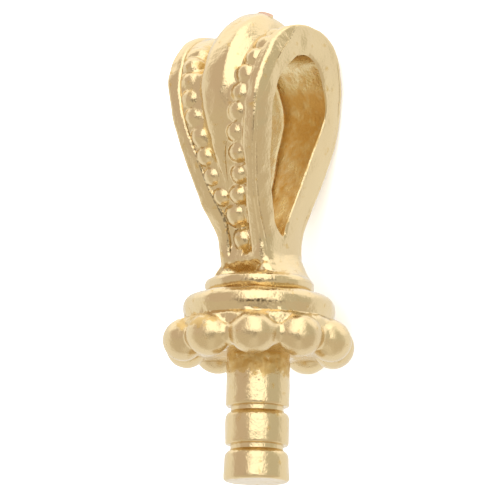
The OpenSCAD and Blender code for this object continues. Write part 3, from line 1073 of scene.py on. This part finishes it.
def node(tree, kind, settings=None, **links):
    """Adds a node with its settings. A link is named after the input, or i0, i1 for its number; a
    value is set on the input, and a socket, or a node's first output in use, is linked to it."""
    made = tree.nodes.new("ShaderNode" + kind)
    for key, value in (settings or {}).items():
        setattr(made, key, value)
    for key, value in links.items():
        name = key.replace("_", " ")
        socket = made.inputs[int(key[1:])] if key[0] == "i" and key[1:].isdigit() else made.inputs[name]
        if isinstance(value, bpy.types.Node):
            value = next(output for output in value.outputs if output.enabled)
        if isinstance(value, bpy.types.NodeSocket):
            tree.links.new(value, socket)
        else:
            socket.default_value = value
    return made


# Settings of nodes that are used more than once
TIMES = {"operation": "MULTIPLY"}
TIMES_PLUS = {"operation": "MULTIPLY_ADD"}
MIXED = {"data_type": "RGBA"}
SMOOTH = {"interpolation_type": "SMOOTHSTEP"}

# Colours of the plating, which is a little redder in patches, of the raw casting where it shows
# through thin plating and, in the channels' recesses, stands for warm painted shade, and of the painted
# shade and painted dark reflections
PLATE = ("#E1CBA0", "#E5CFA2")
RAW_BRASS_AND_WARM_SHADE = "#DFC184"
PAINTED_DARK = "#6B5A42"

# Widths of the colour patches and of the ripples left by tumbling, in mm
PATCH_MM = 2.2
RIPPLE_MM = 0.4

# The middle of the noise that the patches spread over, and where the grain breaks up the painted shade
MOTTLE = (0.35, 0.65)
RAGGED = (0.56, 0.44)

# The raw colour shows where its share and this much of the ripples pass a limit, and is rougher
RAW_RIPPLE = 2.6
RAW_LIMIT = 1.8
RAW_ROUGHER = 0.25


def gold_plated(name, plate, raw_colour, raw_edge, grain_mm, grain_height, ripple_height, rough):
    """Pale gold plating over cast brass. Grain, small pits and ripples break up the edges of its
    highlights. The real grain is some hundredths of a millimetre wide, too fine to show, so it is
    drawn as wide as grain_mm. The raw colour comes in over raw_edge, from crisp to mottled."""
    material = bpy.data.materials.new(name)
    material.use_nodes = True
    tree = material.node_tree
    tree.nodes.clear()
    per_mm = 1.0 / MM
    where = node(tree, "TexCoord").outputs["Object"]
    patches = node(tree, "TexNoise", Vector=where, Scale=per_mm / PATCH_MM, Detail=2.0)
    grain = node(tree, "TexNoise", Vector=where, Scale=per_mm / grain_mm, Detail=3.0, Roughness=0.6)
    ripple = node(tree, "TexNoise", Vector=where, Scale=per_mm / RIPPLE_MM, Detail=2.0)
    painted_dark, raw = (node(tree, "Attribute", {"attribute_name": key}).outputs["Fac"]
                    for key in ("painted_dark", "raw_cast_and_warm_shade"))
    mottle = node(tree, "MapRange", Value=patches, From_Min=MOTTLE[0], From_Max=MOTTLE[1])
    ragged = node(tree, "MapRange", Value=grain, From_Min=RAGGED[0], From_Max=RAGGED[1])
    # Painted shade and painted dark reflections, broken up by the grain
    darkened = node(tree, "Math", TIMES, i0=painted_dark, i1=ragged)
    mottled = node(tree, "Math", TIMES_PLUS, i0=ripple, i1=RAW_RIPPLE, i2=raw)
    shown = node(tree, "MapRange", Value=mottled, From_Min=RAW_LIMIT - raw_edge,
                 From_Max=RAW_LIMIT + raw_edge)
    colour = node(tree, "Mix", MIXED, Factor=mottle, i6=srgb(plate[0]), i7=srgb(plate[1]))
    stained = node(tree, "Mix", MIXED, Factor=darkened, i6=colour, i7=srgb(PAINTED_DARK))
    base = node(tree, "Mix", MIXED, Factor=shown, i6=stained, i7=srgb(raw_colour))
    smooth = node(tree, "MapRange", Value=grain, To_Min=rough[0], To_Max=rough[1])
    dull = node(tree, "Math", TIMES_PLUS, i0=shown, i1=RAW_ROUGHER, i2=smooth)
    fine = node(tree, "Bump", Strength=1.0, Distance=grain_height * MM, Height=grain)
    broad = node(tree, "Bump", Strength=1.0, Distance=ripple_height * MM, Height=ripple, Normal=fine)
    shader = node(tree, "BsdfPrincipled", Base_Color=base, Metallic=1.0, Roughness=dull, Normal=broad)
    node(tree, "OutputMaterial", Surface=shader)
    return material


def bail_finishes():
    """The bail's finishes in the order of their numbers."""
    return [
        # Barrel tumbled and plated: bright, with crisp highlights whose edges the grain breaks up
        gold_plated("gold plated cast brass, tumbled", PLATE, RAW_BRASS_AND_WARM_SHADE, raw_edge=0.15, grain_mm=0.14,
                    grain_height=0.018, ripple_height=0.020, rough=(0.10, 0.20)),
        # As cast, where no tumbling reaches: paler plating in softer light, and orange in soft spots
        gold_plated("gold plated cast brass, as cast", ("#EAD8AC", "#E0CA96"), "#E0B467",
                    raw_edge=0.6, grain_mm=0.12, grain_height=0.015, ripple_height=0.012,
                    rough=(0.16, 0.26)),
        # Softly tumbled, on the crown's beads: the same gold with broad, soft highlights
        gold_plated("gold plated cast brass, softly tumbled", PLATE, RAW_BRASS_AND_WARM_SHADE, raw_edge=0.15,
                    grain_mm=0.14, grain_height=0.012, ripple_height=0.018, rough=(0.18, 0.32)),
        # Filed through the plating: bare brass, pinker and duller than the rest
        gold_plated("cast brass, filed after plating", ("#D9A77E", "#CF9A72"), RAW_BRASS_AND_WARM_SHADE,
                    raw_edge=0.15, grain_mm=0.14, grain_height=0.010, ripple_height=0.010,
                    rough=(0.22, 0.34)),
    ]


# Camera and studio

def camera_axes():
    """Right, up and back directions of the camera, in the upright bail's frame."""
    turn, below = CAM_TURN, CAM_BELOW
    back = Vector((math.sin(turn) * math.cos(below), -math.cos(turn) * math.cos(below),
                   -math.sin(below)))
    right = Vector((math.cos(turn), math.sin(turn), 0.0))
    up = back.cross(right)
    return (right * math.cos(CAM_ROLL) + up * math.sin(CAM_ROLL),
            up * math.cos(CAM_ROLL) - right * math.sin(CAM_ROLL), back)


def make_camera():
    """The camera, far along its back direction, aimed so that the crown's middle stands at its
    pixel."""
    right, up, back = camera_axes()
    seat = back * CAM_AWAY
    half = FRAME_PX / 2
    aim = right * ((half - CROWN_PX[0]) / PX_PER_MM) + up * ((CROWN_PX[1] - half) / PX_PER_MM)
    look = (seat - aim).normalized()
    side = up.cross(look).normalized()
    turn = Matrix((side, look.cross(side), look)).transposed().to_4x4()
    data = bpy.data.cameras.new("camera")
    data.sensor_width = SENSOR
    data.lens = SENSOR * CAM_AWAY * PX_PER_MM / FRAME_PX
    data.clip_start = NEAREST
    cam = in_scene("camera", data)
    lying = UPRIGHT_TO_LYING @ turn
    lying.translation = PLACE @ seat
    cam.matrix_world = lying
    bpy.context.scene.camera = cam


# Radians to degrees, and a little that keeps a divisor from nothing
IN_DEGREES = 180 / math.pi
TINY = 0.0001

# Walls of the studio, as the metal mirrors them: light behind the part, warm grey beside the lens,
# from its left to its right and under it. What the camera itself sees is near white
BACK_WALL = (1.0, 0.99, 0.97, 1)
GREY_LEFT = (0.70, 0.61, 0.55, 1)
GREY_RIGHT = (0.68, 0.66, 0.58, 1)
GREY_LOW = (0.715, 0.65, 0.555, 1)
CEILING = (1.32, 1.30, 1.26, 1)
BACKDROP = (0.97, 0.97, 0.97, 1)

# Where they meet, in degrees from the lens; high up on the left the grey reaches further back. How
# high up is the share of a direction that points up
GREY_ACROSS = (-50.0, 30.0)
GREY_CLIMB = (-14.0, 6.0)
BEHIND_FROM = (84.0, 96.0)
LEFT_FURTHER = 20.0
LEFT_HIGH = (0.25, 0.45)
CEILING_HIGH = (0.30, 0.60)

# Panels that the metal mirrors: a return from the table, the dark lens, a dark stand under the
# softbox, and the tall softbox. Columns: ends across in degrees, softness, ends upwards, softness,
# share, colour. The softbox's ends across are in twice the turn of the metal that mirrors them
TABLE = ((-12, 16), 4, (-80, -24), 6, 0.45, (1.0, 0.98, 0.92, 1))
LENS = ((-9, 9), 4, (-22, 6), 4, 0.55, (0.25, 0.22, 0.18, 1))
STAND = ((-34, 12), 6, (-1, 8), 1.5, 1.0, (0.13, 0.11, 0.085, 1))
SOFTBOX = ((-26, 31), 2.5, (8, 98), 2, 1.0, (1.75, 1.72, 1.66, 1))


def lens_angles(tree):
    """Shares of a direction to the camera's right and up, and its angles from the lens in degrees:
    across, upwards, in all, and twice the turn across of the metal that mirrors it, which is
    asin(right / sqrt(2 + 2 back)). They hold for the photo's camera, wherever a view is taken
    from."""
    way = node(tree, "TexCoord").outputs["Generated"]
    right, up, back = (node(tree, "VectorMath", {"operation": "DOT_PRODUCT"}, i0=way,
                            i1=UPRIGHT_TO_LYING.to_3x3() @ axis) for axis in camera_axes())
    length = node(tree, "Math", TIMES_PLUS, i0=back, i1=2.0, i2=2.0 + TINY)
    length = node(tree, "Math", {"operation": "SQRT"}, i0=length)
    slope = node(tree, "Math", {"operation": "DIVIDE"}, i0=right, i1=length)
    across = node(tree, "Math", {"operation": "ARCSINE"}, i0=right)
    climb = node(tree, "Math", {"operation": "ARCTAN2"}, i0=up, i1=back)
    away = node(tree, "Math", {"operation": "ARCCOSINE"}, i0=back)
    slant = node(tree, "Math", {"operation": "ARCSINE"}, i0=slope)
    angles = (node(tree, "Math", TIMES, i0=angle, i1=times * IN_DEGREES)
              for angle, times in ((across, 1.0), (climb, 1.0), (away, 1.0), (slant, 2.0)))
    return right, up, *angles


def window(tree, value, ends, soft):
    """1 between two ends and 0 outside, with a smooth step at each."""
    low, high = ends
    rise = node(tree, "MapRange", SMOOTH, Value=value, From_Min=low - soft, From_Max=low + soft)
    fall = node(tree, "MapRange", SMOOTH, Value=value, From_Min=high - soft, From_Max=high + soft,
                To_Min=1.0, To_Max=0.0)
    return node(tree, "Math", TIMES, i0=rise, i1=fall)


def studio_world():
    """A studio all round the part: pale walls and a light ceiling behind it, greyer walls beside
    the camera, and the panels in front of them."""
    world = bpy.data.worlds.new("studio")
    world.use_nodes = True
    tree = world.node_tree
    tree.nodes.clear()
    right, up, across, climb, away, slant = lens_angles(tree)
    rightwards, upwards, to_left, to_ceiling = (
        node(tree, "MapRange", SMOOTH, Value=value, From_Min=ends[0], From_Max=ends[1])
        for value, ends in ((across, GREY_ACROSS), (climb, GREY_CLIMB), (up, LEFT_HIGH),
                            (up, CEILING_HIGH)))
    grey = node(tree, "Mix", MIXED, Factor=rightwards, i6=GREY_LEFT, i7=GREY_RIGHT)
    grey = node(tree, "Mix", MIXED, Factor=upwards, i6=GREY_LOW, i7=grey)
    left = node(tree, "Math", TIMES, i0=right, i1=-LEFT_FURTHER)
    left = node(tree, "Math", {"operation": "MAXIMUM"}, i0=left, i1=0.0)
    left = node(tree, "Math", TIMES, i0=left, i1=to_left)
    away = node(tree, "Math", {"operation": "SUBTRACT"}, i0=away, i1=left)
    behind = node(tree, "MapRange", SMOOTH, Value=away, From_Min=BEHIND_FROM[0],
                  From_Max=BEHIND_FROM[1])
    light = node(tree, "Mix", MIXED, Factor=behind, i6=grey, i7=BACK_WALL)
    ceiling = node(tree, "Math", TIMES, i0=to_ceiling, i1=behind)
    light = node(tree, "Mix", MIXED, Factor=ceiling, i6=light, i7=CEILING)
    for over, panel in ((across, TABLE), (across, LENS), (across, STAND), (slant, SOFTBOX)):
        ends, soft, rise, rise_soft, share, colour = panel
        shape = node(tree, "Math", TIMES, i0=window(tree, over, ends, soft),
                     i1=window(tree, climb, rise, rise_soft))
        shape = node(tree, "Math", TIMES, i0=shape, i1=share)
        light = node(tree, "Mix", MIXED, Factor=shape, i6=light, i7=colour)
    seen = node(tree, "LightPath").outputs["Is Camera Ray"]
    light = node(tree, "Mix", MIXED, Factor=seen, i6=light, i7=BACKDROP)
    shade = node(tree, "Background", Color=light, Strength=1.0)
    node(tree, "OutputWorld", Surface=shade)
    bpy.context.scene.world = world


# The floor's half size, and the overhead light's size, height and power
FLOOR_HALF = 1.5
LAMP_SIZE = 4.0
LAMP_HEIGHT = 0.6
LAMP_WATTS = 105.0


def pale_floor():
    """A plain pale floor, lit by a wide light overhead that the metal doesn't mirror."""
    corners = np.array([[-1, -1, 0], [1, -1, 0], [1, 1, 0], [-1, 1, 0]]) * FLOOR_HALF
    floor = mesh_object("floor", corners, [(0, 1, 2, 3)])
    # Matt white board, which gives a soft, even ground
    material = bpy.data.materials.new("matt white board")
    material.use_nodes = True
    shader = material.node_tree.nodes["Principled BSDF"]
    shader.inputs["Base Color"].default_value = srgb("#F4F4F3")
    shader.inputs["Roughness"].default_value = 0.9
    floor.data.materials.append(material)
    floor.visible_glossy = False
    data = bpy.data.lights.new("overhead", "AREA")
    data.size = LAMP_SIZE
    data.energy = LAMP_WATTS
    lamp = in_scene("overhead", data)
    lamp.location = (0.0, 0.0, LAMP_HEIGHT)
    lamp.visible_glossy = False


# The bail in one piece

def peg_bail():
    """The bail in one piece: its shells united, then softened, stained, given its painted dark lines
    and made uneven upright, and laid on its back."""
    rng = np.random.default_rng(SEED)
    points, dark, raw, wall = ring_surface(bead_places(rng))
    inside = (wall & np.roll(wall, -1, axis=1)).ravel()
    quads = grid_faces(*points.shape[:2])[:, ::-1]
    ring = mesh_object("ring", points, quads.tolist(), inside * WALL_FINISH)
    for key, values in (("painted_dark", dark), ("raw_cast_and_warm_shade", raw)):
        ring.data.attributes.new(key, "FLOAT", "POINT").data.foreach_set("value", values.ravel())
    whole = fused("peg_bail_body", [ring, cap_and_collar(), neck(), crown(), peg(), stub()],
                  bail_finishes())
    mesh = whole.data
    soften_creases(mesh)
    stains_and_painted_lines(mesh)
    uneven(mesh, rng)
    mesh.transform(PLACE)
    mesh.shade_smooth()
    mesh.set_sharp_from_angle(angle=SHARP_ANGLE)
    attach(whole, "root")
    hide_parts("peg_bail")


peg_bail()
make_camera()
studio_world()
pale_floor()
bpy.context.scene.view_settings.view_transform = "Standard"
